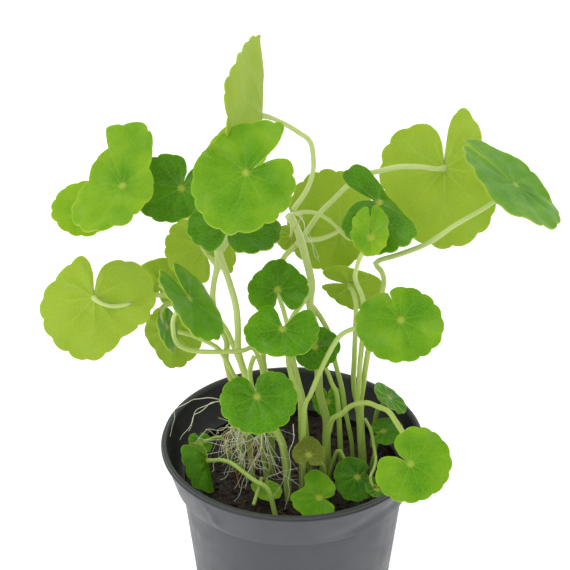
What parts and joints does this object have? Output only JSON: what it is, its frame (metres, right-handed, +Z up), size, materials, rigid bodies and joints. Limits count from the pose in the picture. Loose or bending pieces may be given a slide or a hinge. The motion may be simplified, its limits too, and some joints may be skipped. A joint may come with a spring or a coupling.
{
  "type": "potted pennywort plant",
  "caption": "Potted aquarium and pond plant with round scalloped leaves on long bare stalks, pale roots and dark soil in a tapered round nursery pot",
  "frame": {"origin": "centre of the pot's underside, on the surface that it stands on", "axes": "+Z up along the pot's axis; the side shown in the picture faces -Y, so +X is to its right"},
  "size_m": [0.1633, 0.0903, 0.2113],
  "materials": {
    "leaf": "fresh green leaf, soft satin sheen, thin and slightly see-through",
    "old_leaf": "wilted yellow-brown leaf",
    "stem": "smooth pale green stalk",
    "root": "fine whitish-green roots",
    "pot_plastic": "satin grey moulded plastic",
    "soil": "moist dark fibrous soil"
  },
  "bodies": {
    "root": {"leaf_back_grey": "leaf", "leaf_back_lime": "leaf", "leaf_back_pale": "leaf", "leaf_back_small": "leaf", "leaf_behind_stems": "leaf", "leaf_centre_dark": "leaf", "leaf_centre_high": "leaf", "leaf_centre_low": "leaf", "leaf_front_big": "leaf", "leaf_left_behind": "leaf", "leaf_left_blade": "leaf", "leaf_left_crumpled": "leaf", "leaf_left_dark": "leaf", "leaf_left_hanging": "leaf", "leaf_left_large": "leaf", "leaf_left_lime": "leaf", "leaf_low_front": "leaf", "leaf_low_right": "leaf", "leaf_pot_front": "leaf", "leaf_pot_front_dark": "leaf", "leaf_pot_front_low": "leaf", "leaf_pot_left": "leaf", "leaf_pot_right_back": "leaf", "leaf_pot_right_mid": "leaf", "leaf_pot_small_left": "leaf", "leaf_pot_soil_leaf": "leaf", "leaf_right_dark": "leaf", "leaf_right_far": "leaf", "leaf_right_large": "leaf", "leaf_right_round": "leaf", "leaf_right_small": "leaf", "leaf_right_under": "leaf", "leaf_top": "leaf", "leaf_top_back": "leaf", "leaf_under_front": "leaf", "leaf_old_brown": "old_leaf", "stem_centre": "stem", "stem_left": "stem", "stem_left_pale": "stem", "stem_right": "stem", "stalk_left_inner": "stem", "stalk_centre_inner": "stem", "stalk_right_inner": "stem", "broken_stalk": "stem", "roots_centre": "root", "roots_front": "root", "roots_hanging": "root", "roots_left": "root", "pot": "pot_plastic", "soil": "soil"}
  },
  "joints": []
}
